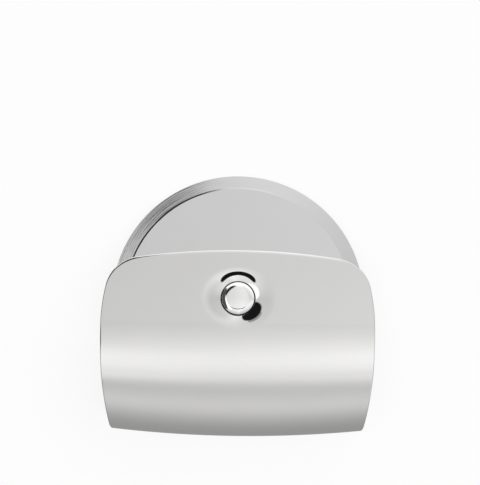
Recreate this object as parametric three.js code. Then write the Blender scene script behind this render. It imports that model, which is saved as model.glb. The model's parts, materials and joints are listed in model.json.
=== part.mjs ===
// Palm-held pizza wheel lying on a table: a folded steel grip, a round blade and the rivet it turns on.
// Frame while building: X across the grip, +Y towards the open blade, Z along the axle. Sizes in millimetres.
// On the sheet, u is the distance from the axle towards the fold, and d the depth under the outer face.
import * as THREE from 'three';

// Blade
const BLADE_RADIUS = 50;
const BLADE_THICKNESS = 1.2;
const BEVEL_WIDTH = 5.3;
const EDGE_LAND = 0.2;

// Sheet and clearances
const SHEET = 1.2;
const SEAT_GAP = 0.25;
const RUN_GAP = 0.1;
const END_FLOAT = 0.25;

// Press rivet: a pin in a tube, each with a domed head
const PIN_RADIUS = 2.1;
const TUBE_WALL = 1.65;
const HEAD_LAP = 2.6;
const HEAD_RIM = 0.5;
const HEAD_SHOULDER = 3;
const SHOULDER_SLOPE = THREE.MathUtils.degToRad(50);
const CROWN_SLOPE = THREE.MathUtils.degToRad(3.5);
const PIN_END_WALL = 1;

// Top-hat bushes in the blade
const BUSH_WALL = 1.6;
const FLANGE_LAP = 2;
const FLANGE_THICKNESS = 2;

// Shallow dimple pressed into each cheek, wider across the grip than along it
const DIMPLE_DEPTH = 0.9;
const DIMPLE_SHOULDER = 19.6;
const DIMPLE_FILLET = 0.6;
const DIMPLE_MARGIN = 0.15;
const DIMPLE_STRETCH = 1.4;

// Section of the sheet: flat cheek, hollow flare, round fold arched across the grip
const FLAT_END = 10;
const GRIP_RADIUS = 14.4;
const FOLD_CLEARANCE = 2.8;
const ARCH_RADIUS = 460;

// Outline of the cheeks seen along the axle
const TOP_MARGIN = 6.6;
const TOP_RADIUS = 275;
const CORNER_RADIUS = 15.2;
const SIDE_MARGIN = 4.2;
const WIDEST_AT = 11.5;
const SIDE_RADIUS_UP = 75;
const SIDE_RADIUS_DOWN = 190;
const JOIN_MARGIN = 1.5;

// Fineness of the faceted surfaces
const ROUND_STEPS = 48;
const BLADE_STEPS = 96;
const SHOULDER_STEPS = 4;
const FOLD_STEPS = 22;
const FLARE_STEPS = 4;
const JOIN_STEPS = 22;
const SIDE_STEPS = 5;
const CORNER_STEPS = 5;
const TOP_STEPS = 10;
const CROWN_STEPS = 2;
const FILLET_STEPS = 2;
const WALL_STEPS = 4;

// Radii round the axle
const TUBE_BORE = PIN_RADIUS + SEAT_GAP;
const TUBE_RADIUS = TUBE_BORE + TUBE_WALL;
const BUSH_BORE = TUBE_RADIUS + RUN_GAP;
const BLADE_BORE = BUSH_BORE + BUSH_WALL + SEAT_GAP;
const AXLE_HOLE = TUBE_RADIUS + SEAT_GAP;
const HEAD_RADIUS = TUBE_RADIUS + HEAD_LAP;
const DIMPLE_FLOOR = HEAD_RADIUS + DIMPLE_MARGIN;

// Heights along the axle, from the blade's middle plane
const BLADE_FACE = BLADE_THICKNESS / 2;
const FLANGE_IN = BLADE_FACE + SEAT_GAP;
const FLANGE_OUT = FLANGE_IN + FLANGE_THICKNESS;
const FLOOR_OUT = FLANGE_OUT + END_FLOAT + SHEET;
const HEAD_IN = FLOOR_OUT + SEAT_GAP;
const CHEEK_OUT = FLOOR_OUT + DIMPLE_DEPTH;

// Dimple wall: the shoulder and fillet arcs meet at one slope
const DIMPLE_RADII = DIMPLE_SHOULDER + DIMPLE_FILLET;
const WALL_SLOPE = Math.acos(1 - DIMPLE_DEPTH / DIMPLE_RADII);
const DIMPLE_WIDTH = DIMPLE_RADII * Math.sin(WALL_SLOPE);
const DIMPLE_RIM = DIMPLE_FLOOR + DIMPLE_WIDTH;

// Flare: an arc touching the flat cheek and the round fold
const FOLD_TIP = BLADE_RADIUS + FOLD_CLEARANCE + SHEET;
const GRIP_CENTRE = FOLD_TIP - GRIP_RADIUS;
const FLARE_RUN = GRIP_CENTRE - FLAT_END;
const FLARE_RADIUS = (FLARE_RUN ** 2 + CHEEK_OUT ** 2 - GRIP_RADIUS ** 2) / (2 * (GRIP_RADIUS - CHEEK_OUT));
const FLARE_SLOPE = Math.asin(FLARE_RUN / (GRIP_RADIUS + FLARE_RADIUS));

// Cheek extents, and the line where the cheek's rings hand over to the rows of the fold
const TOP_EDGE = DIMPLE_RIM + TOP_MARGIN;
const HALF_WIDTH = BLADE_RADIUS + SIDE_MARGIN;
const JOIN = Math.max(DIMPLE_RIM, FLAT_END) + JOIN_MARGIN;

// Half the sheet's width at a distance u
function halfWidth(u) {
  const radius = u < WIDEST_AT ? SIDE_RADIUS_UP : SIDE_RADIUS_DOWN;
  return HALF_WIDTH - radius + Math.sqrt(radius ** 2 - (u - WIDEST_AT) ** 2);
}

// A point of the sheet, moved towards the axle as the arch of the fold asks
function sheetPoint(x, u, height) {
  const share = THREE.MathUtils.clamp((u - FLAT_END) / (FOLD_TIP - FLAT_END), 0, 1);
  return new THREE.Vector3(x, (share * x * x) / (2 * ARCH_RADIUS) - u, height);
}

// How much wider than high the dimple is, in the direction of x at a radius from the axle
function dimpleSpread(x, radius) {
  return 1 + (DIMPLE_STRETCH - 1) * (x / radius) ** 2;
}

// How far the dimple sinks a skin of depth d, at a radius before the dimple is spread
function dimpleSink(radius, d) {
  const fillet = DIMPLE_FILLET + d;
  const shoulder = DIMPLE_SHOULDER - d;
  const intoFillet = Math.max(radius - DIMPLE_FLOOR, 0);
  const intoShoulder = DIMPLE_RIM - radius;
  if (intoShoulder <= 0) return 0;
  if (intoFillet < fillet * Math.sin(WALL_SLOPE)) {
    return DIMPLE_DEPTH - fillet + Math.sqrt(fillet ** 2 - intoFillet ** 2);
  }
  return shoulder - Math.sqrt(shoulder ** 2 - intoShoulder ** 2);
}

// A point of the front cheek's skin of depth d
function cheekPoint(x, u, d) {
  const flare = FLARE_RADIUS + d;
  const intoFlare = Math.max(u - FLAT_END, 0);
  const height = CHEEK_OUT + FLARE_RADIUS - Math.sqrt(flare ** 2 - intoFlare ** 2);
  const radius = Math.hypot(x, u);
  const beyond = Math.max(radius - DIMPLE_FLOOR, 0);
  const unspread = radius - beyond + beyond / dimpleSpread(x, radius);
  return sheetPoint(x, u, height - dimpleSink(unspread, d));
}

// Points along an arc, its end left out
function arcPoints(centre, radius, from, to, steps) {
  return Array.from({ length: steps }, (_, i) => {
    const angle = from + ((to - from) * i) / steps;
    return new THREE.Vector2(Math.cos(angle), Math.sin(angle)).multiplyScalar(radius).add(centre);
  });
}

// Cheek outline as (x, u): the edge up the right side, over the top and down the left, then the join line
function cheekOutline() {
  const side = new THREE.Vector2(HALF_WIDTH - SIDE_RADIUS_UP, WIDEST_AT);
  const top = new THREE.Vector2(0, TOP_RADIUS - TOP_EDGE);
  // The corner circle touches the side arc and the top arc from inside
  const sideReach = SIDE_RADIUS_UP - CORNER_RADIUS;
  const topReach = TOP_RADIUS - CORNER_RADIUS;
  const span = top.clone().sub(side);
  const along = (sideReach ** 2 - topReach ** 2 + span.lengthSq()) / (2 * span.length());
  const unit = span.clone().normalize();
  const across = new THREE.Vector2(unit.y, -unit.x).multiplyScalar(Math.sqrt(sideReach ** 2 - along ** 2));
  const corner = side.clone().addScaledVector(unit, along).add(across);
  const sideEnd = corner.clone().sub(side).angle() - 2 * Math.PI;
  const topEnd = corner.clone().sub(top).angle() - 2 * Math.PI;
  const sideTop = side.y + SIDE_RADIUS_UP * Math.sin(sideEnd);
  const half = Array.from({ length: SIDE_STEPS }, (_, i) => {
    const u = JOIN + ((sideTop - JOIN) * i) / SIDE_STEPS;
    return new THREE.Vector2(halfWidth(u), u);
  });
  half.push(...arcPoints(corner, CORNER_RADIUS, sideEnd, topEnd, CORNER_STEPS));
  half.push(...arcPoints(top, TOP_RADIUS, topEnd, -Math.PI / 2, TOP_STEPS));
  const mirrored = half.map((p) => new THREE.Vector2(-p.x, p.y)).reverse();
  const edge = [...half, new THREE.Vector2(0, -TOP_EDGE), ...mirrored];
  const reach = Math.atan2(halfWidth(JOIN), JOIN);
  const join = [];
  for (let i = 1; i < JOIN_STEPS; i += 1) {
    join.push(new THREE.Vector2(JOIN * Math.tan(reach * ((2 * i) / JOIN_STEPS - 1)), JOIN));
  }
  return { edge, join };
}

// Stops along a ray over the dimple of one skin: hole, floor, then the spread fillet and shoulder
function dimpleStops(d, spread) {
  const widths = [];
  for (let i = 1; i <= FILLET_STEPS; i += 1) {
    widths.push((DIMPLE_FILLET + d) * Math.sin((WALL_SLOPE * i) / FILLET_STEPS));
  }
  for (let i = WALL_STEPS - 1; i >= 0; i -= 1) {
    widths.push(DIMPLE_WIDTH - (DIMPLE_SHOULDER - d) * Math.sin((WALL_SLOPE * i) / WALL_STEPS));
  }
  return [AXLE_HOLE, DIMPLE_FLOOR, ...widths.map((width) => DIMPLE_FLOOR + width * spread)];
}

// Points from the hole out to one point of the outline, with one where the flare starts
function cheekRay(end, d) {
  const reach = end.length();
  const way = end.clone().divideScalar(reach);
  const dimple = dimpleStops(d, dimpleSpread(way.x, 1));
  const rim = dimple[dimple.length - 1];
  const spare = reach - rim;
  const flareStart = way.y > 0 ? FLAT_END / way.y : reach;
  const first = THREE.MathUtils.clamp(flareStart, rim + spare / 4, reach - spare / 3);
  const stops = [...dimple, first, (first + reach) / 2, reach];
  return stops.map((stop) => cheekPoint(way.x * stop, way.y * stop, d));
}

// Section of the sheet as [u, height], from the front join round the fold to the rear join
function foldSection(d) {
  const flare = FLARE_RADIUS + d;
  const fold = GRIP_RADIUS - d;
  const front = [];
  const start = Math.asin((JOIN - FLAT_END) / flare);
  for (let i = 0; i < FLARE_STEPS; i += 1) {
    const angle = start + ((FLARE_SLOPE - start) * i) / FLARE_STEPS;
    front.push([FLAT_END + flare * Math.sin(angle), CHEEK_OUT + FLARE_RADIUS - flare * Math.cos(angle)]);
  }
  for (let i = 0; i < FOLD_STEPS / 2; i += 1) {
    const angle = (FLARE_SLOPE + Math.PI / 2) * ((2 * i) / FOLD_STEPS) - FLARE_SLOPE;
    front.push([GRIP_CENTRE + fold * Math.sin(angle), fold * Math.cos(angle)]);
  }
  const rear = front.map(([u, height]) => [u, -height]).reverse();
  return [...front, [GRIP_CENTRE + fold, 0], ...rear];
}

// One skin of the sheet: the rays of the front cheek and the rows of the fold
function sheetSkin(d, edge, join) {
  const rays = [...edge, ...join].map((end) => cheekRay(end, d));
  const seam = [edge[edge.length - 1], ...join, edge[0]].map((p) => p.x / halfWidth(JOIN));
  const row = ([u, height]) => seam.map((share) => sheetPoint(share * halfWidth(u), u, height));
  return { rays, rows: foldSection(d).map(row) };
}

// The folded sheet as one closed surface: outer skin, inner skin and the cut edges between them
function handleGeometry() {
  const { edge, join } = cheekOutline();
  const outer = sheetSkin(0, edge, join);
  const inner = sheetSkin(SHEET, edge, join);
  const positions = [];
  const quad = (a, b, c, d, flip) => {
    const order = flip ? [a, c, b, a, d, c] : [a, b, c, a, c, d];
    order.forEach((p) => positions.push(p.x, p.y, p.z));
  };
  const count = outer.rays.length;
  const last = outer.rays[0].length - 1;
  for (const face of [1, -1]) {
    const rear = face < 0;
    const at = ({ rays }, i, k) => rays[i % count][k].clone().multiply(new THREE.Vector3(1, 1, face));
    for (let i = 0; i < count; i += 1) {
      const next = i + 1;
      for (let k = 0; k < last; k += 1) {
        const loop = [[i, k], [i, k + 1], [next, k + 1], [next, k]];
        const cell = (layer) => loop.map(([ray, stop]) => at(layer, ray, stop));
        quad(...cell(outer), rear);
        quad(...cell(inner), !rear);
      }
      quad(at(outer, i, 0), at(outer, next, 0), at(inner, next, 0), at(inner, i, 0), rear);
      if (i < edge.length - 1) {
        quad(at(outer, i, last), at(inner, i, last), at(inner, next, last), at(outer, next, last), rear);
      }
    }
  }
  const side = outer.rows[0].length - 1;
  for (let k = 0; k < outer.rows.length - 1; k += 1) {
    for (let j = 0; j < side; j += 1) {
      const cell = ({ rows }) => [rows[k][j], rows[k + 1][j], rows[k + 1][j + 1], rows[k][j + 1]];
      quad(...cell(outer), false);
      quad(...cell(inner), true);
    }
    for (const j of [0, side]) {
      quad(outer.rows[k][j], inner.rows[k][j], inner.rows[k + 1][j], outer.rows[k + 1][j], j === side);
    }
  }
  const geometry = new THREE.BufferGeometry();
  geometry.setAttribute('position', new THREE.Float32BufferAttribute(positions, 3));
  geometry.computeVertexNormals();
  return geometry;
}

// A solid of revolution about the axle from [radius, height] points
function turned(points, steps = ROUND_STEPS) {
  const profile = points.map(([radius, height]) => new THREE.Vector2(radius, height));
  return new THREE.LatheGeometry(profile, steps).rotateX(Math.PI / 2);
}

function bladeGeometry() {
  const bevel = BLADE_RADIUS - BEVEL_WIDTH;
  return turned([
    [BLADE_BORE, -BLADE_FACE],
    [bevel, -BLADE_FACE],
    [BLADE_RADIUS, -EDGE_LAND / 2],
    [BLADE_RADIUS, EDGE_LAND / 2],
    [bevel, BLADE_FACE],
    [BLADE_BORE, BLADE_FACE],
    [BLADE_BORE, -BLADE_FACE],
  ], BLADE_STEPS);
}

// Top-hat bush: its sleeve fills half the blade's bore, its flange lies between blade and dimple floor
function bushGeometry() {
  const sleeve = BUSH_BORE + BUSH_WALL;
  return turned([
    [BUSH_BORE, SEAT_GAP / 2],
    [sleeve, SEAT_GAP / 2],
    [sleeve, FLANGE_IN],
    [BLADE_BORE + FLANGE_LAP, FLANGE_IN],
    [BLADE_BORE + FLANGE_LAP, FLANGE_OUT],
    [BUSH_BORE, FLANGE_OUT],
    [BUSH_BORE, SEAT_GAP / 2],
  ]);
}

// Domed head: short rim, round shoulder, and a low crown that carries on the shoulder's slope
function headProfile() {
  const shoulderCentre = HEAD_RADIUS - HEAD_SHOULDER * Math.sin(SHOULDER_SLOPE);
  const shoulderFoot = HEAD_IN + HEAD_RIM - HEAD_SHOULDER * Math.cos(SHOULDER_SLOPE);
  const points = [[HEAD_RADIUS, HEAD_IN]];
  for (let i = 0; i <= SHOULDER_STEPS; i += 1) {
    const slope = SHOULDER_SLOPE + ((CROWN_SLOPE - SHOULDER_SLOPE) * i) / SHOULDER_STEPS;
    const run = HEAD_SHOULDER * Math.sin(slope);
    points.push([shoulderCentre + run, shoulderFoot + HEAD_SHOULDER * Math.cos(slope)]);
  }
  const [crownRadius, crownFoot] = points[points.length - 1];
  const sphere = crownRadius / Math.sin(CROWN_SLOPE);
  for (let i = CROWN_STEPS - 1; i >= 0; i -= 1) {
    const slope = (CROWN_SLOPE * i) / CROWN_STEPS;
    points.push([sphere * Math.sin(slope), crownFoot + sphere * (Math.cos(slope) - Math.cos(CROWN_SLOPE))]);
  }
  return points;
}

// Front half of the rivet: the tube runs from its head to just short of the rear head
function tubeGeometry() {
  const tubeEnd = SEAT_GAP - HEAD_IN;
  const boreEnd = HEAD_IN - PIN_END_WALL;
  return turned([
    [0, boreEnd],
    [TUBE_BORE, boreEnd],
    [TUBE_BORE, tubeEnd],
    [TUBE_RADIUS, tubeEnd],
    [TUBE_RADIUS, HEAD_IN],
    ...headProfile(),
  ]);
}

// Rear half of the rivet, drawn with its head up: the pin stops just short of the tube's end wall
function pinGeometry() {
  const pinEnd = PIN_END_WALL + SEAT_GAP - HEAD_IN;
  return turned([
    [0, pinEnd],
    [PIN_RADIUS, pinEnd],
    [PIN_RADIUS, HEAD_IN],
    ...headProfile(),
  ]);
}

const assembly = new THREE.Group();

// One named piece with a finish of its own, turned over where it belongs to the rear side
function addPiece(name, geometry, finish, rear = false) {
  const mesh = new THREE.Mesh(geometry, new THREE.MeshStandardMaterial(finish));
  mesh.name = name;
  mesh.rotation.x = rear ? Math.PI : 0;
  assembly.add(mesh);
}

const satinSteel = { color: 0xd2d2d0, roughness: 0.22, metalness: 1 };
const bladeSteel = { color: 0xc9c9c8, roughness: 0.3, metalness: 1 };
const brightSteel = { color: 0xdededc, roughness: 0.16, metalness: 1 };
const darkPlastic = { color: 0x3a3a3a, roughness: 0.5, metalness: 0 };

const sheet = handleGeometry();
addPiece('handle_shell', sheet, satinSteel);
addPiece('cutting_wheel', bladeGeometry(), bladeSteel);
addPiece('rivet_tube', tubeGeometry(), brightSteel);
addPiece('rivet_pin', pinGeometry(), brightSteel, true);
addPiece('front_bush', bushGeometry(), darkPlastic);
addPiece('rear_bush', bushGeometry(), darkPlastic, true);

// Lay it on its back, so that the blade's edge and the lowest part of the grip touch the table
const corners = sheet.getAttribute('position');
let slope = 0;
for (let i = 0; i < corners.count; i += 1) {
  slope = Math.max(slope, -(corners.getZ(i) + EDGE_LAND / 2) / (BLADE_RADIUS - corners.getY(i)));
}
assembly.rotation.x = -Math.atan(slope);

// Centre it over the origin, with the table at height zero
const pizzaWheel = new THREE.Group();
pizzaWheel.add(assembly);
pizzaWheel.updateMatrixWorld(true);
const box = new THREE.Box3().setFromObject(pizzaWheel, true);
const middle = box.getCenter(new THREE.Vector3());
assembly.position.set(-middle.x, -middle.y, -box.min.z);

export default pizzaWheel;
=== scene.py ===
"""Palm-held pizza wheel: the fine surfaces, finishes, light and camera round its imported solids."""
import json
import math

import bmesh
import bpy
from mathutils import Matrix, Vector


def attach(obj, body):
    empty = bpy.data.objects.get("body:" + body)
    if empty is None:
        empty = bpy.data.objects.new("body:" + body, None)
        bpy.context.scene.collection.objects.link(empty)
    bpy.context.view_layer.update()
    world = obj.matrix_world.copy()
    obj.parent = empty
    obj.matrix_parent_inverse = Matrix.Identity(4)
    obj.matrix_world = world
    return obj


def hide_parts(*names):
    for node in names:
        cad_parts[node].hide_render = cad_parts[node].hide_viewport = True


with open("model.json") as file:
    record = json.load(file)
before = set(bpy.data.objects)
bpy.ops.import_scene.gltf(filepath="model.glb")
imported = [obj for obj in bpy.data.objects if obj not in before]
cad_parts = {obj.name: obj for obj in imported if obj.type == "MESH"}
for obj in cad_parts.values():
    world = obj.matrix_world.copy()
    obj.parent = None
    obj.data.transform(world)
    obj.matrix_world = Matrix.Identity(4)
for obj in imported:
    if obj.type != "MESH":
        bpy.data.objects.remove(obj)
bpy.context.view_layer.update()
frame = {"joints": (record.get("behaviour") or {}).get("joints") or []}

# Blade, in metres like every size here
BLADE_RADIUS = 0.050
BLADE_THICKNESS = 0.0012
BEVEL_WIDTH = 0.0053
EDGE_LAND = 0.0002
STEP_WIDTH = 0.0006
STEP_DROP = 0.00012

# Sheet and clearances
SHEET = 0.0012
SEAT_GAP = 0.00025
RUN_GAP = 0.0001
END_FLOAT = 0.00025

# Press rivet: a pin in a tube, each with a domed head
PIN_RADIUS = 0.0021
TUBE_WALL = 0.00165
HEAD_LAP = 0.0024
HEAD_RIM = 0.0005
HEAD_SHOULDER = 0.0036
SHOULDER_SLOPE = math.radians(42)
CROWN_SLOPE = math.radians(3.5)
PIN_END_WALL = 0.001

# Top-hat bushes in the blade
BUSH_WALL = 0.0016
FLANGE_LAP = 0.002
FLANGE_THICKNESS = 0.002

# Shallow dimple pressed into each cheek, wider across the grip than along it
DIMPLE_DEPTH = 0.0009
DIMPLE_SHOULDER = 0.0196
DIMPLE_FILLET = 0.0006
DIMPLE_MARGIN = 0.00035
DIMPLE_STRETCH = 1.4

# Section of the sheet: flat cheek, hollow flare, round fold arched across the grip
FLAT_END = 0.010
GRIP_RADIUS = 0.0144
FOLD_CLEARANCE = 0.0028
ARCH_RADIUS = 0.460

# Outline of the cheeks seen along the axle
TOP_MARGIN = 0.0066
TOP_RADIUS = 0.275
CORNER_RADIUS = 0.0152
SIDE_MARGIN = 0.0042
WIDEST_AT = 0.0115
SIDE_RADIUS_UP = 0.075
SIDE_RADIUS_DOWN = 0.190
JOIN_MARGIN = 0.0015

# Polishing takes a little off the sheet and rounds its cut edges
POLISH = 0.00008
HONE = 0.00001
EDGE_WIDTH = 0.0013
SIDE_EDGE_WIDTH = 0.00035
EDGE_DEPTH = 0.00046
EDGE_SUPPORT = 0.0001
BEVEL_SUPPORT = 0.00004
SMALL_ROUND = 0.00012

# Fineness of the surfaces
ROUND_STEPS = 128
BLADE_STEPS = 384
BEVEL_STEPS = 6
SHOULDER_STEPS = 24
FILLET_STEPS = 10
FLAT_STEPS = 12
FLOOR_STEPS = 3
FOLD_STEPS = 144
FLARE_STEPS = 28
JOIN_STEPS = 96
SIDE_STEPS = 24
CORNER_STEPS = 20
TOP_STEPS = 48
EDGE_STEPS = 10
CROWN_STEPS = 14

# Radii round the axle
TUBE_BORE = PIN_RADIUS + SEAT_GAP
TUBE_RADIUS = TUBE_BORE + TUBE_WALL
BUSH_BORE = TUBE_RADIUS + RUN_GAP
BLADE_BORE = BUSH_BORE + BUSH_WALL + SEAT_GAP
AXLE_HOLE = TUBE_RADIUS + SEAT_GAP
HEAD_RADIUS = TUBE_RADIUS + HEAD_LAP
DIMPLE_FLOOR = HEAD_RADIUS + DIMPLE_MARGIN

# Heights along the axle, from the blade's middle plane
BLADE_FACE = BLADE_THICKNESS / 2
FLANGE_IN = BLADE_FACE + SEAT_GAP
FLANGE_OUT = FLANGE_IN + FLANGE_THICKNESS
FLOOR_OUT = FLANGE_OUT + END_FLOAT + SHEET
HEAD_IN = FLOOR_OUT + SEAT_GAP
CHEEK_OUT = FLOOR_OUT + DIMPLE_DEPTH

# Dimple wall: the shoulder and fillet arcs meet at one slope
DIMPLE_RADII = DIMPLE_SHOULDER + DIMPLE_FILLET
WALL_SLOPE = math.acos(1 - DIMPLE_DEPTH / DIMPLE_RADII)
DIMPLE_WIDTH = DIMPLE_RADII * math.sin(WALL_SLOPE)
DIMPLE_RIM = DIMPLE_FLOOR + DIMPLE_WIDTH

# Flare: an arc touching the flat cheek and the round fold
FOLD_TIP = BLADE_RADIUS + FOLD_CLEARANCE + SHEET
GRIP_CENTRE = FOLD_TIP - GRIP_RADIUS
FLARE_RUN = GRIP_CENTRE - FLAT_END
FLARE_RADIUS = (FLARE_RUN**2 + CHEEK_OUT**2 - GRIP_RADIUS**2) / (2 * (GRIP_RADIUS - CHEEK_OUT))
FLARE_SLOPE = math.asin(FLARE_RUN / (GRIP_RADIUS + FLARE_RADIUS))

# Cheek extents, and the line where the cheek's rings hand over to the rows of the fold
TOP_EDGE = DIMPLE_RIM + TOP_MARGIN
HALF_WIDTH = BLADE_RADIUS + SIDE_MARGIN - HONE
JOIN = max(DIMPLE_RIM, FLAT_END) + JOIN_MARGIN

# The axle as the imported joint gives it: origin, and the local Z along the axle
JOINT = frame["joints"][0]
AXLE = Vector(JOINT["pos_m"])
ALONG = Vector(JOINT["axis"]).normalized()
ACROSS = Vector((1, 0, 0))
UPWARD = ALONG.cross(ACROSS)
PLACE = Matrix.Translation(AXLE) @ Matrix((ACROSS, UPWARD, ALONG)).transposed().to_4x4()


# Shared mesh helpers

# Attribute that keeps each point's place by the axle
LOCAL = "by_the_axle"
# Points this close are welded into one
WELD = 1e-7
# A radius below this is on the axle
ON_AXLE = 1e-9


def add_mesh(name, points, faces, place=PLACE, closed=True):
    """A smooth mesh in the row frame, whose points also keep their place by the axle for the finishes."""
    mesh = bpy.data.meshes.new(name)
    mesh.from_pydata([tuple(p) for p in points], [], faces)
    if closed:
        cells = bmesh.new()
        cells.from_mesh(mesh)
        bmesh.ops.remove_doubles(cells, verts=cells.verts, dist=WELD)
        bmesh.ops.recalc_face_normals(cells, faces=cells.faces)
        cells.to_mesh(mesh)
        cells.free()
    local = mesh.attributes.new(LOCAL, "FLOAT_VECTOR", "POINT")
    local.data.foreach_set("vector", [c for v in mesh.vertices for c in v.co])
    mesh.transform(place)
    mesh.shade_smooth()
    piece = bpy.data.objects.new(name, mesh)
    bpy.context.scene.collection.objects.link(piece)
    return piece


def arc(centre, radius, start, end, steps):
    """Points along an arc in a plane, both ends included."""
    turn = (end - start) / steps
    angles = [start + turn * i for i in range(steps + 1)]
    return [Vector((centre[0] + radius * math.cos(a), centre[1] + radius * math.sin(a))) for a in angles]


def rounded(corners, radius):
    """A closed profile of (radius, height) corners with each corner rounded."""
    points = []
    for i, corner in enumerate(corners):
        here = Vector(corner)
        before = Vector(corners[i - 1]) - here
        after = Vector(corners[(i + 1) % len(corners)]) - here
        opening = before.angle(after)
        trim = min(radius / math.tan(opening / 2), before.length / 3, after.length / 3)
        first = here + before.normalized() * trim
        last = here + after.normalized() * trim
        for k in range(EDGE_STEPS + 1):
            t = k / EDGE_STEPS
            points.append(first * (1 - t) ** 2 + here * 2 * t * (1 - t) + last * t * t)
    return points


def turned(name, profile, steps=ROUND_STEPS, rear=False):
    """A solid of revolution about the axle from a closed profile, turned over for the rear side."""
    points = []
    rings = []
    for p in profile:
        on_axle = abs(p[0]) < ON_AXLE
        ring = []
        for i in range(1 if on_axle else steps):
            angle = 2 * math.pi * i / steps
            ring.append(len(points))
            points.append((p[0] * math.cos(angle), p[0] * math.sin(angle), p[1]))
        rings.append(ring * steps if on_axle else ring)
    faces = []
    for k, ring in enumerate(rings):
        upper = rings[(k + 1) % len(rings)]
        if len(set(ring)) == 1 and len(set(upper)) == 1:
            continue
        for i in range(steps):
            j = (i + 1) % steps
            corners = dict.fromkeys([ring[i], ring[j], upper[j], upper[i]])
            faces.append(list(corners))
    place = PLACE @ Matrix.Rotation(math.pi, 4, "X") if rear else PLACE
    return add_mesh(name, points, faces, place)


# Folded grip


def half_width(u):
    """Half the sheet's width at a distance u from the axle towards the fold."""
    radius = SIDE_RADIUS_UP if u < WIDEST_AT else SIDE_RADIUS_DOWN
    return HALF_WIDTH - radius + math.sqrt(radius**2 - (u - WIDEST_AT) ** 2)


def sheet_point(x, u, height):
    """A point of the sheet, moved towards the axle as the arch of the fold asks."""
    share = min(max((u - FLAT_END) / (FOLD_TIP - FLAT_END), 0), 1)
    return Vector((x, share * x * x / (2 * ARCH_RADIUS) - u, height))


def dimple_spread(x, radius):
    """How much wider than high the dimple is, in the direction of x at a radius from the axle."""
    return 1 + (DIMPLE_STRETCH - 1) * (x / radius) ** 2


def dimple_sink(radius, depth):
    """How far the dimple sinks the skin at a depth, at a radius before the dimple is spread."""
    fillet = DIMPLE_FILLET + depth
    shoulder = DIMPLE_SHOULDER - depth
    into_fillet = max(radius - DIMPLE_FLOOR, 0)
    into_shoulder = DIMPLE_RIM - radius
    if into_shoulder <= 0:
        return 0
    if into_fillet < fillet * math.sin(WALL_SLOPE):
        return DIMPLE_DEPTH - fillet + math.sqrt(fillet**2 - into_fillet**2)
    return shoulder - math.sqrt(shoulder**2 - into_shoulder**2)


def cheek_point(x, u, depth):
    """A point of the front cheek's skin at a depth."""
    flare = FLARE_RADIUS + depth
    into_flare = max(u - FLAT_END, 0)
    height = CHEEK_OUT + FLARE_RADIUS - math.sqrt(flare**2 - into_flare**2)
    radius = math.hypot(x, u)
    beyond = max(radius - DIMPLE_FLOOR, 0)
    unspread = radius - beyond + beyond / dimple_spread(x, radius)
    return sheet_point(x, u, height - dimple_sink(unspread, depth))


def cheek_outline():
    """The cheek's edge as (x, u), from the right join over the top to the left join, and the join line."""
    side = Vector((HALF_WIDTH - SIDE_RADIUS_UP, WIDEST_AT))
    top = Vector((0, TOP_RADIUS - TOP_EDGE))
    side_reach = SIDE_RADIUS_UP - CORNER_RADIUS
    top_reach = TOP_RADIUS - CORNER_RADIUS
    span = top - side
    along = (side_reach**2 - top_reach**2 + span.length_squared) / (2 * span.length)
    unit = span.normalized()
    aside = Vector((unit.y, -unit.x)) * math.sqrt(side_reach**2 - along**2)
    corner = side + unit * along + aside
    side_end = math.atan2(corner.y - side.y, corner.x - side.x)
    top_end = math.atan2(corner.y - top.y, corner.x - top.x)
    side_top = side.y + SIDE_RADIUS_UP * math.sin(side_end)
    levels = [JOIN + (side_top - JOIN) * i / SIDE_STEPS for i in range(SIDE_STEPS)]
    half = [Vector((half_width(u), u)) for u in levels]
    half += arc(corner, CORNER_RADIUS, side_end, top_end, CORNER_STEPS)[:-1]
    half += arc(top, TOP_RADIUS, top_end, -math.pi / 2, TOP_STEPS)[:-1]
    edge = half + [Vector((0, -TOP_EDGE))] + [Vector((-p.x, p.y)) for p in reversed(half)]
    wide = half_width(JOIN)
    reach = math.atan2(wide - SIDE_EDGE_WIDTH - EDGE_SUPPORT, JOIN)
    turns = [2 * i / JOIN_STEPS - 1 for i in range(JOIN_STEPS + 1)]
    join = [Vector((JOIN * math.tan(reach * turn), JOIN)) for turn in turns]
    return edge, join


def cheek_stops(last, spread, depth):
    """Distances from the axle along one ray: floor, spread fillet and shoulder, then the flat."""
    fillet = DIMPLE_FILLET + depth
    widths = [fillet * math.sin(WALL_SLOPE * i / FILLET_STEPS) for i in range(FILLET_STEPS)]
    for i in range(SHOULDER_STEPS):
        slope = WALL_SLOPE * (1 - i / SHOULDER_STEPS)
        widths.append(DIMPLE_WIDTH - (DIMPLE_SHOULDER - depth) * math.sin(slope))
    rim = DIMPLE_FLOOR + DIMPLE_WIDTH * spread
    stops = [AXLE_HOLE + (DIMPLE_FLOOR - AXLE_HOLE) * i / FLOOR_STEPS for i in range(FLOOR_STEPS)]
    stops += [DIMPLE_FLOOR + width * spread for width in widths]
    return stops + [rim + (last - rim) * i / FLAT_STEPS for i in range(FLAT_STEPS + 1)]


def edge_width(lean):
    """Width of the rounded edge, wide where the edge faces the open blade and narrow at the sides."""
    return SIDE_EDGE_WIDTH + (EDGE_WIDTH - SIDE_EDGE_WIDTH) * max(lean, 0) ** 2


def cheek_ray(inside, end, depth):
    """Points of a skin from the hole to a point just inside the outline, and the point of the outline."""
    way = inside.normalized()
    stops = cheek_stops(inside.length, dimple_spread(way.x, 1), depth)
    ray = [cheek_point(way.x * stop, way.y * stop, depth) for stop in stops]
    return ray + [cheek_point(end.x, end.y, depth)]


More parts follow.
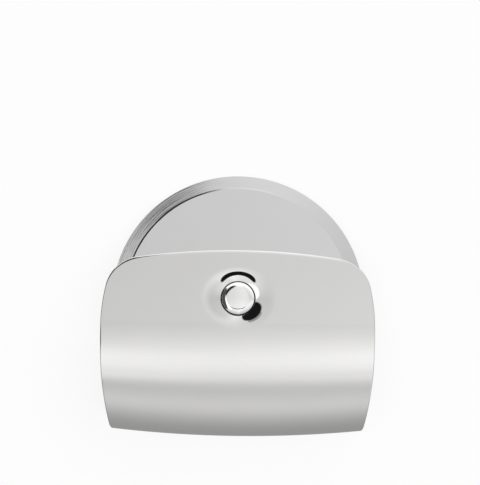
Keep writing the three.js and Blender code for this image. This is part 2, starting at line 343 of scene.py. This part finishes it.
def fold_section(depth):
    """The skin's section as (u, height), from the front join round the fold to the rear join."""
    flare = FLARE_RADIUS + depth
    fold = GRIP_RADIUS - depth
    start = math.asin((JOIN - FLAT_END) / flare)
    front = []
    for i in range(FLARE_STEPS):
        angle = start + (FLARE_SLOPE - start) * i / FLARE_STEPS
        height = CHEEK_OUT + FLARE_RADIUS - flare * math.cos(angle)
        front.append((FLAT_END + flare * math.sin(angle), height))
    for i in range(FOLD_STEPS // 2):
        angle = (FLARE_SLOPE + math.pi / 2) * 2 * i / FOLD_STEPS - FLARE_SLOPE
        front.append((GRIP_CENTRE + fold * math.sin(angle), fold * math.cos(angle)))
    return front + [(GRIP_CENTRE + fold, 0)] + [(u, -height) for u, height in reversed(front)]


def sheet_skin(depth):
    """One skin of the folded sheet: rays of the front and rear cheeks, and rows across the fold."""
    edge, join = cheek_outline()
    ends = edge + join
    front = []
    for i, end in enumerate(ends):
        along = (ends[(i + 1) % len(ends)] - ends[i - 1]).normalized()
        margin = Vector((-along.y, along.x)) * (edge_width(-along.x) + EDGE_SUPPORT)
        if i >= len(edge):
            margin = end.normalized() * EDGE_SUPPORT
        front.append(cheek_ray(end - margin, end, depth))
    rear = [[Vector((p.x, p.y, -p.z)) for p in ray] for ray in front]
    wide = half_width(JOIN)
    seam = [-1] + [p.x / wide for p in join] + [1]
    rows = []
    for u, height in fold_section(depth):
        rows.append([sheet_point(share * half_width(u), u, height) for share in seam])
    return {"front": front, "rear": rear, "rows": rows, "edge": len(edge)}


def edge_loop(skin):
    """Where the sheet's outer edge runs: keys of the skin's points, once round the whole sheet."""
    edge = range(skin["edge"])
    rows = range(1, len(skin["rows"]) - 1)
    loop = [("front", i, -1) for i in edge]
    loop += [("rows", k, 0) for k in rows]
    loop += [("rear", i, -1) for i in reversed(edge)]
    loop += [("rows", k, -1) for k in reversed(rows)]
    return loop


def edge_strips(outer, inner):
    """Strips of the rounded cut edge from the outer skin to the inner. Both skins' rims move onto it."""
    loop = edge_loop(outer)
    rims = [[skin[part][i][k].copy() for part, i, k in loop] for skin in (outer, inner)]
    beside = [[skin[part][i][-2 if k else 1].copy() for part, i, k in loop] for skin in (outer, inner)]
    strips = []
    for i, (part, row, column) in enumerate(loop):
        strip = []
        for layer in (0, 1):
            base = rims[layer][i]
            tangent = rims[layer][(i + 1) % len(loop)] - rims[layer][i - 1]
            normal = tangent.cross(base - beside[layer][i]).normalized()
            if normal.dot(base - rims[1 - layer][i]) < 0:
                normal.negate()
            out = (base - beside[layer][i]).project(tangent.cross(normal)).normalized()
            out *= edge_width(out.y)
            up = normal * EDGE_DEPTH
            turns = [math.pi / 2 * k / EDGE_STEPS for k in range(EDGE_STEPS + 1)]
            bend = [base - out - up + out * math.sin(t) + up * math.cos(t) for t in turns]
            strip += reversed(bend) if layer else bend
        strips.append(strip)
        outer[part][row][column] = strip[0]
        inner[part][row][column] = strip[-1]
    return strips


def grip_sheet():
    """The folded sheet: two skins, and a rounded cut edge all round between them."""
    outer = sheet_skin(POLISH)
    inner = sheet_skin(SHEET - POLISH)
    strips = edge_strips(outer, inner)
    # The fold's first and last rows share their end points with the cheeks' edges
    for skin in (outer, inner):
        last = skin["edge"] - 1
        for row, side in ((0, "front"), (-1, "rear")):
            skin["rows"][row][0] = skin[side][last][-1]
            skin["rows"][row][-1] = skin[side][0][-1]
    points = []
    faces = []

    def grid(lines, closed=False):
        """Adds the faces between each line of points and the next."""
        start = len(points)
        width = len(lines[0])
        for line in lines:
            points.extend(line)
        height = len(lines)
        for i in range(height if closed else height - 1):
            j = (i + 1) % height
            for k in range(width - 1):
                a = start + i * width + k
                b = start + j * width + k
                faces.append((a, a + 1, b + 1, b))

    for skin in (outer, inner):
        for side in ("front", "rear"):
            grid(skin[side], closed=True)
        grid(skin["rows"])
    grid(strips, closed=True)
    for side in ("front", "rear"):
        grid([[over[0], under[0]] for over, under in zip(outer[side], inner[side])], closed=True)
    return add_mesh("grip_sheet", points, faces)


# Turned pieces


def blade():
    """Round blade, flat out to its bevel, with a thin land for an edge."""
    bevel = BLADE_RADIUS - BEVEL_WIDTH
    foot = (bevel + STEP_WIDTH, BLADE_FACE - STEP_DROP)
    corners = [(BLADE_BORE, BLADE_FACE), (bevel, BLADE_FACE), foot, (BLADE_RADIUS - HONE, EDGE_LAND / 2)]
    half = [(BLADE_BORE, 0)]
    for start, end in zip(corners, corners[1:]):
        start = Vector(start)
        span = Vector(end) - start
        close = BEVEL_SUPPORT / span.length
        shares = [0, close] + [i / BEVEL_STEPS for i in range(1, BEVEL_STEPS)] + [1 - close]
        half += [tuple(start + span * share) for share in shares]
    half.append(corners[-1])
    lower = [(radius, -height) for radius, height in reversed(half) if height > 0]
    return turned("blade", half + lower, BLADE_STEPS)


def head_profile():
    """Domed head from its foot to the axis: round shoulder, then a crown that carries its slope on."""
    middle = HEAD_RADIUS - HEAD_SHOULDER * math.sin(SHOULDER_SLOPE)
    low = HEAD_IN + HEAD_RIM - HEAD_SHOULDER * math.cos(SHOULDER_SLOPE)
    crown_edge = middle + HEAD_SHOULDER * math.sin(CROWN_SLOPE)
    crown_sphere = crown_edge / math.sin(CROWN_SLOPE)
    crown_base = low + HEAD_SHOULDER * math.cos(CROWN_SLOPE)
    points = [(HEAD_RADIUS - SMALL_ROUND, HEAD_IN), (HEAD_RADIUS, HEAD_IN + SMALL_ROUND)]
    points += [(HEAD_RADIUS, HEAD_IN + HEAD_RIM - SMALL_ROUND)]
    start = math.pi / 2 - SHOULDER_SLOPE
    end = math.pi / 2 - CROWN_SLOPE
    points += [tuple(p) for p in arc((middle, low), HEAD_SHOULDER, start, end, SHOULDER_STEPS)]
    for i in range(CROWN_STEPS - 1, -1, -1):
        angle = CROWN_SLOPE * i / CROWN_STEPS
        rise = crown_sphere * (math.cos(angle) - math.cos(CROWN_SLOPE))
        points.append((crown_sphere * math.sin(angle), crown_base + rise))
    return points


def front_rivet():
    """Front half of the rivet: the tube, with the button that shows."""
    tube_end = SEAT_GAP - HEAD_IN
    bore_end = HEAD_IN - PIN_END_WALL
    bore = [(0, bore_end), (TUBE_BORE, bore_end), (TUBE_BORE, tube_end)]
    stem = bore + [(TUBE_RADIUS, tube_end), (TUBE_RADIUS, HEAD_IN)]
    return turned("front_rivet", stem + head_profile())


def rear_rivet():
    """Rear half of the rivet: the pin, with the button on the back."""
    pin_end = PIN_END_WALL + SEAT_GAP - HEAD_IN
    stem = [(0, pin_end), (PIN_RADIUS, pin_end), (PIN_RADIUS, HEAD_IN)]
    return turned("rear_rivet", stem + head_profile(), rear=True)


def bush(name, rear):
    """Top-hat bush: its sleeve in the blade's bore, its flange beside the blade."""
    sleeve = BUSH_BORE + BUSH_WALL
    corners = [
        (BUSH_BORE, SEAT_GAP / 2),
        (sleeve, SEAT_GAP / 2),
        (sleeve, FLANGE_IN),
        (BLADE_BORE + FLANGE_LAP, FLANGE_IN),
        (BLADE_BORE + FLANGE_LAP, FLANGE_OUT),
        (BUSH_BORE, FLANGE_OUT),
    ]
    return turned(name, rounded(corners, SMALL_ROUND), rear=rear)


# Materials


def grey(tone):
    """An opaque grey as a colour."""
    return (tone, tone, tone, 1)


class Shader:
    """A node tree with short ways to add and link nodes."""

    def __init__(self, owner):
        owner.use_nodes = True
        self.tree = owner.node_tree
        self.tree.nodes.clear()

    def add(self, kind, inputs=(), **settings):
        node = self.tree.nodes.new(kind)
        for key, value in settings.items():
            setattr(node, key, value)
        for key, value in dict(inputs).items():
            self.set(node, key, value)
        return node

    def set(self, node, key, value):
        socket = node.inputs[key]
        if isinstance(value, bpy.types.NodeSocket):
            self.tree.links.new(value, socket)
        else:
            socket.default_value = value

    def math(self, operation, a, b=0.0):
        return self.add("ShaderNodeMath", {0: a, 1: b}, operation=operation).outputs[0]

    def vector(self, operation, a, b=(0, 0, 0)):
        node = self.add("ShaderNodeVectorMath", {0: a, 1: b}, operation=operation)
        return node.outputs["Value" if operation == "LENGTH" else "Vector"]

    def mix(self, share, a, b):
        return self.add("ShaderNodeMix", {0: share, 2: a, 3: b}).outputs[0]

    def span(self, value, low, high, to_low, to_high):
        inputs = {"Value": value, "From Min": low, "From Max": high, "To Min": to_low, "To Max": to_high}
        return self.add("ShaderNodeMapRange", inputs, interpolation_type="SMOOTHSTEP").outputs[0]

    def ramp(self, value, stops):
        node = self.add("ShaderNodeValToRGB", {"Fac": value})
        steps = node.color_ramp.elements
        while len(steps) < len(stops):
            steps.new(0.5)
        for step, (position, level) in zip(steps, stops):
            step.position = position
            step.color = grey(level)
        return node.outputs["Color"]

    def noise(self, vector, scale, detail=3.0):
        inputs = {"Vector": vector, "Scale": scale, "Detail": detail}
        return self.add("ShaderNodeTexNoise", inputs).outputs[0]

    def stretch(self, vector, scale):
        return self.add("ShaderNodeMapping", {"Vector": vector, "Scale": scale}).outputs[0]

    def bump(self, height, strength, distance, normal=None):
        inputs = {"Height": height, "Strength": strength, "Distance": distance}
        if normal is not None:
            inputs["Normal"] = normal
        return self.add("ShaderNodeBump", inputs).outputs[0]

    def surface(self, shader):
        self.tree.links.new(shader, self.add("ShaderNodeOutputMaterial").inputs["Surface"])


# Most of a noise lies between these two values
NOISE_LOW = 0.3
NOISE_HIGH = 0.7

# A steel's colour drifts, and its roughness has smears that are long across the grip
DRIFT_SCALE = 60.0
DRIFT_SHADE = 0.97
SMEAR_STRETCH = (40.0, 400.0, 400.0)


def steel(name, tint, rough_low, rough_high):
    """Start of a steel finish, whose colour and roughness vary a little over the surface."""
    material = bpy.data.materials.new(name)
    shader = Shader(material)
    place = shader.add("ShaderNodeAttribute", attribute_name=LOCAL).outputs["Vector"]
    drift = shader.noise(place, DRIFT_SCALE)
    colours = shader.add("ShaderNodeValToRGB", {"Fac": drift})
    colours.color_ramp.elements[0].color = (*[c * DRIFT_SHADE for c in tint], 1)
    colours.color_ramp.elements[1].color = (*tint, 1)
    smear = shader.noise(shader.stretch(place, SMEAR_STRETCH), 1.0)
    rough = shader.span(smear, NOISE_LOW, NOISE_HIGH, rough_low, rough_high)
    body = shader.add("ShaderNodeBsdfPrincipled", {"Metallic": 1.0})
    shader.set(body, "Base Color", colours.outputs["Color"])
    shader.set(body, "Roughness", rough)
    shader.surface(body.outputs[0])
    return material, shader, place, body


# Sheet: mirror bright on the cheeks, satin on the grip, the one going over into the other along the flare
SHEET_TINT = (0.74, 0.735, 0.73)
CHEEK_ROUGH_LOW = 0.02
CHEEK_ROUGH_HIGH = 0.032
SATIN_ROUGH = 0.52
SATIN_DELAY = 0.003
SATIN_RUN = 0.025
SATIN_START = FLAT_END + SATIN_DELAY
SATIN_FULL = SATIN_START + SATIN_RUN

# Painted shade round the button: a near-black ring in the sheet's colour, standing for the dark crevice at
# the head's foot
SEAM_PAINTED_SHADE = grey(0.02)
SEAM_SHADE_WIDTH = 0.0004
SEAM_SHADE_FADE = 0.0003
SEAM_SHADE_EDGE = HEAD_RADIUS + SEAM_SHADE_WIDTH

# Trace of waviness in the sheet, and fine wiping marks across the grip
WAVE_SCALE = 45.0
WAVE_DETAIL = 1.0
WAVE_STRENGTH = 0.02
WAVE_HEIGHT = 0.0004
WIPE_STRETCH = (120.0, 4000.0, 4000.0)
WIPE_DETAIL = 2.0
WIPE_STRENGTH = 0.02
WIPE_HEIGHT = 0.00002


def satin_steel():
    """Polished cheeks and a satin grip, with painted shade in a near-black ring round the button."""
    material, shader, place, body = steel("satin_steel", SHEET_TINT, CHEEK_ROUGH_LOW, CHEEK_ROUGH_HIGH)
    radius = shader.vector("LENGTH", shader.vector("MULTIPLY", place, (1, 1, 0)))
    # Painted shade: the sheet's colour goes near-black in a ring just outside the button's head
    outside_painted_shade = shader.span(radius, SEAM_SHADE_EDGE, SEAM_SHADE_EDGE + SEAM_SHADE_FADE, 0, 1)
    plain = body.inputs["Base Color"].links[0].from_socket
    tone = shader.add("ShaderNodeMix", {0: outside_painted_shade, 6: SEAM_PAINTED_SHADE, 7: plain}, data_type="RGBA")
    shader.set(body, "Base Color", tone.outputs[2])
    along = shader.add("ShaderNodeSeparateXYZ", {0: place}).outputs["Y"]
    grip = shader.span(along, -SATIN_FULL, -SATIN_START, 1, 0)
    polished = body.inputs["Roughness"].links[0].from_socket
    shader.set(body, "Roughness", shader.mix(grip, polished, SATIN_ROUGH))
    waves = shader.noise(place, WAVE_SCALE, WAVE_DETAIL)
    wipes = shader.noise(shader.stretch(place, WIPE_STRETCH), 1.0, WIPE_DETAIL)
    wavy = shader.bump(waves, WAVE_STRENGTH, WAVE_HEIGHT)
    shader.set(body, "Normal", shader.bump(wipes, WIPE_STRENGTH, WIPE_HEIGHT, wavy))
    return material


BLADE_TINT = (0.72, 0.715, 0.715)
BLADE_ROUGH_LOW = 0.1
BLADE_ROUGH_HIGH = 0.14
BLADE_GRAIN_SCALE = 1500.0
BLADE_GRAIN_STRENGTH = 0.02
BLADE_GRAIN_HEIGHT = 0.00002

# Grinding streaks on the bevel: slow round the blade, quick from its axle outwards
STREAKS_ROUND = 2.5
STREAKS_OUTWARD = 1900.0
STREAK_DETAIL = 4.0
STREAK_HEIGHT = 0.00003
GRIND_LAP = 0.0001
GRIND_FADE = 0.0004
GRIND_START = BLADE_RADIUS - BEVEL_WIDTH - GRIND_LAP


def blade_steel():
    """Polished flat, and a bevel ground round and round."""
    material, shader, place, body = steel("blade_steel", BLADE_TINT, BLADE_ROUGH_LOW, BLADE_ROUGH_HIGH)
    flat = shader.vector("MULTIPLY", place, (1, 1, 0))
    radius = shader.vector("LENGTH", flat)
    turn = shader.vector("MULTIPLY", shader.vector("NORMALIZE", flat), (STREAKS_ROUND, STREAKS_ROUND, 0))
    outward = shader.math("MULTIPLY", radius, STREAKS_OUTWARD)
    out = shader.add("ShaderNodeCombineXYZ", {"Z": outward}).outputs[0]
    streaks = shader.noise(shader.vector("ADD", turn, out), 1.0, STREAK_DETAIL)
    on_bevel = shader.span(radius, GRIND_START, GRIND_START + GRIND_FADE, 0, 1)
    grind = shader.math("MULTIPLY", streaks, on_bevel)
    grain = shader.noise(place, BLADE_GRAIN_SCALE)
    fine = shader.bump(grain, BLADE_GRAIN_STRENGTH, BLADE_GRAIN_HEIGHT)
    shader.set(body, "Normal", shader.bump(grind, 1.0, STREAK_HEIGHT, fine))
    return material


BRIGHT_TINT = (0.91, 0.905, 0.9)
BRIGHT_ROUGH_LOW = 0.1
BRIGHT_ROUGH_HIGH = 0.14
BRIGHT_GRAIN_SCALE = 2500.0
BRIGHT_GRAIN_STRENGTH = 0.01
BRIGHT_GRAIN_HEIGHT = 0.00001


def bright_steel():
    """Bright polish with a faint grain."""
    material, shader, place, body = steel("bright_steel", BRIGHT_TINT, BRIGHT_ROUGH_LOW, BRIGHT_ROUGH_HIGH)
    grain = shader.noise(place, BRIGHT_GRAIN_SCALE)
    shader.set(body, "Normal", shader.bump(grain, BRIGHT_GRAIN_STRENGTH, BRIGHT_GRAIN_HEIGHT))
    return material


PLASTIC_DARK = grey(0.03)
PLASTIC_LIGHT = grey(0.05)
PLASTIC_ROUGH_LOW = 0.42
PLASTIC_ROUGH_HIGH = 0.55
PLASTIC_GRAIN_SCALE = 3000.0
PLASTIC_GRAIN_STRENGTH = 0.15
PLASTIC_GRAIN_HEIGHT = 0.00005


def dark_plastic():
    """Moulded plastic with a fine grain."""
    material = bpy.data.materials.new("dark_plastic")
    shader = Shader(material)
    place = shader.add("ShaderNodeAttribute", attribute_name=LOCAL).outputs["Vector"]
    grain = shader.noise(place, PLASTIC_GRAIN_SCALE)
    colours = shader.add("ShaderNodeValToRGB", {"Fac": grain})
    colours.color_ramp.elements[0].color = PLASTIC_DARK
    colours.color_ramp.elements[1].color = PLASTIC_LIGHT
    rough = shader.span(grain, NOISE_LOW, NOISE_HIGH, PLASTIC_ROUGH_LOW, PLASTIC_ROUGH_HIGH)
    body = shader.add("ShaderNodeBsdfPrincipled")
    shader.set(body, "Base Color", colours.outputs["Color"])
    shader.set(body, "Roughness", rough)
    shader.set(body, "Normal", shader.bump(grain, PLASTIC_GRAIN_STRENGTH, PLASTIC_GRAIN_HEIGHT))
    shader.surface(body.outputs[0])
    return material


# Floor, light and camera

# Brightness of the surroundings against the angle from straight up, north (+Y) positive, in degrees
SKY = [
    (-180, 0.5), (-92, 0.44), (-67, 0.57), (-45, 0.8), (-25, 1.03), (0, 1.2),
    (10, 1.02), (18, 0.85), (34, 0.95), (48, 1.1), (62, 1.28), (85, 1.4), (180, 1),
]
SKY_STRENGTH = 1.5
# And a factor on it, against how far it leans west (-1) or east (1)
SIDES = [(-1, 0.88), (-0.15, 0.88), (-0.06, 0.923), (0.06, 1.037), (0.09, 1.03), (0.2, 0.86), (1, 0.86)]
# Soft ovals in it: how far each leans east and north, its half width and half height in degrees, its light
SPOTS = [
    (0, 2, 13, 4.6, 0.01),  # dark camera overhead
    (-30, -2, 15, 24, 1.4),  # white panel in the west
    (-8.2, 29.5, 4.2, 5, 0.4),  # small grey panel in the north
    (-20, 40, 16, 18, 0.012),  # dark wall in the northwest
    (-58, 20, 26, 80, 0.08),  # dark wall low in the west
]
# An oval's edge fades between these shares of its size
SPOT_EDGE = (0.92, 1.04)


def surroundings():
    """Soft light all round, brightest in the north, with a dark camera, a white panel and dark walls."""
    world = bpy.data.worlds.new("surroundings")
    bpy.context.scene.world = world
    shader = Shader(world)
    way = shader.add("ShaderNodeTexCoord").outputs["Generated"]
    axes = shader.add("ShaderNodeSeparateXYZ", {0: way}).outputs
    north = shader.math("ARCTAN2", axes["Y"], axes["Z"])
    east = shader.math("ARCSINE", axes["X"])
    turn = shader.math("ADD", shader.math("DIVIDE", north, 2 * math.pi), 0.5)
    height = shader.ramp(turn, [((degrees + 180) / 360, level / SKY_STRENGTH) for degrees, level in SKY])
    across = shader.math("ADD", shader.math("DIVIDE", axes["X"], 2), 0.5)
    side = shader.ramp(across, [((lean + 1) / 2, level / SKY_STRENGTH) for lean, level in SIDES])
    level = shader.math("MULTIPLY", height, shader.math("MULTIPLY", side, SKY_STRENGTH**2))
    for spot in SPOTS:
        to_east, to_north, wide, high = [math.radians(degrees) for degrees in spot[:4]]
        light = spot[4]
        x = shader.math("DIVIDE", shader.math("SUBTRACT", east, to_east), wide)
        y = shader.math("DIVIDE", shader.math("SUBTRACT", north, to_north), high)
        out = shader.vector("LENGTH", shader.add("ShaderNodeCombineXYZ", {0: x, 1: y}).outputs[0])
        level = shader.mix(shader.span(out, *SPOT_EDGE, 1, 0), level, light)
    sky = shader.add("ShaderNodeBackground", {"Color": grey(1), "Strength": level}).outputs[0]
    shader.tree.links.new(sky, shader.add("ShaderNodeOutputWorld").inputs["Surface"])


FLOOR_REACH = 20.0
FLOOR_GLOW = 0.86
FLOOR_TONE = 0.17
FLOOR_WHITE = 0.8


def level_sheet(name, north, height):
    """A level rectangle as wide as the floor, from the floor's south end to a line in the north."""
    reach = FLOOR_REACH
    corners = [(-reach, -reach), (reach, -reach), (reach, north), (-reach, north)]
    return add_mesh(name, [(x, y, height) for x, y in corners], [(0, 1, 2, 3)], Matrix(), False)


def floor():
    """White table: glows to the camera and in reflections, and takes a faint shadow."""
    table = level_sheet("floor", FLOOR_REACH, 0)
    material = bpy.data.materials.new("white_table")
    shader = Shader(material)
    path = shader.add("ShaderNodeLightPath").outputs
    seen = shader.math("MAXIMUM", path["Is Camera Ray"], path["Is Glossy Ray"])
    seen = shader.math("MAXIMUM", seen, path["Is Transmission Ray"])
    plain = shader.add("ShaderNodeBsdfDiffuse", {"Color": grey(FLOOR_WHITE)}).outputs[0]
    shade = shader.add("ShaderNodeBsdfDiffuse", {"Color": grey(FLOOR_TONE)}).outputs[0]
    glow = shader.add("ShaderNodeEmission", {"Strength": FLOOR_GLOW}).outputs[0]
    white = shader.add("ShaderNodeAddShader", {0: shade, 1: glow}).outputs[0]
    shader.surface(shader.add("ShaderNodeMixShader", {0: seen, 1: plain, 2: white}).outputs[0])
    table.data.materials.append(material)


CARD_END = 0.05
CARD_LIFT = 0.0002
CARD_LIGHT = 0.38


def grey_card():
    """Grey card on the table, under the part and south of it. It shows only in reflections."""
    card = level_sheet("grey_card", CARD_END, CARD_LIFT)
    material = bpy.data.materials.new("grey_card")
    shader = Shader(material)
    shader.surface(shader.add("ShaderNodeEmission", {"Strength": CARD_LIGHT}).outputs[0])
    card.data.materials.append(material)
    card.visible_camera = False
    card.visible_diffuse = False
    card.visible_shadow = False
    card.visible_transmission = False


# Camera straight above, with the axle where the photograph has it
CAMERA_HEIGHT = 0.9
CAMERA_X = 0.00052
CAMERA_Y = 0.02489
CAMERA_ROLL = math.radians(0.7)
SENSOR_WIDTH = 36
FOCAL_PIXELS = 2246
IMAGE_LONG_SIDE = 485


def camera():
    """Looks straight down from north of the axle."""
    lens = bpy.data.cameras.new("camera")
    lens.sensor_width = SENSOR_WIDTH
    lens.lens = SENSOR_WIDTH * FOCAL_PIXELS / IMAGE_LONG_SIDE
    eye = bpy.data.objects.new("camera", lens)
    bpy.context.scene.collection.objects.link(eye)
    eye.location = (CAMERA_X, CAMERA_Y, CAMERA_HEIGHT)
    eye.rotation_euler = (0, 0, CAMERA_ROLL)
    bpy.context.scene.camera = eye


def dress(piece, node, body, material):
    """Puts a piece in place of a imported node, with its finish."""
    piece.data.materials.append(material)
    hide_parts(node)
    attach(piece, body)


satin = satin_steel()
ground = blade_steel()
bright = bright_steel()
plastic = dark_plastic()
dress(grip_sheet(), "handle_shell", "handle", satin)
dress(blade(), "cutting_wheel", "wheel", ground)
dress(front_rivet(), "rivet_tube", "handle", bright)
dress(rear_rivet(), "rivet_pin", "handle", bright)
dress(bush("front_bearing", False), "front_bush", "wheel", plastic)
dress(bush("rear_bearing", True), "rear_bush", "wheel", plastic)

surroundings()
floor()
grey_card()
camera()
bpy.context.scene.view_settings.view_transform = "Standard"
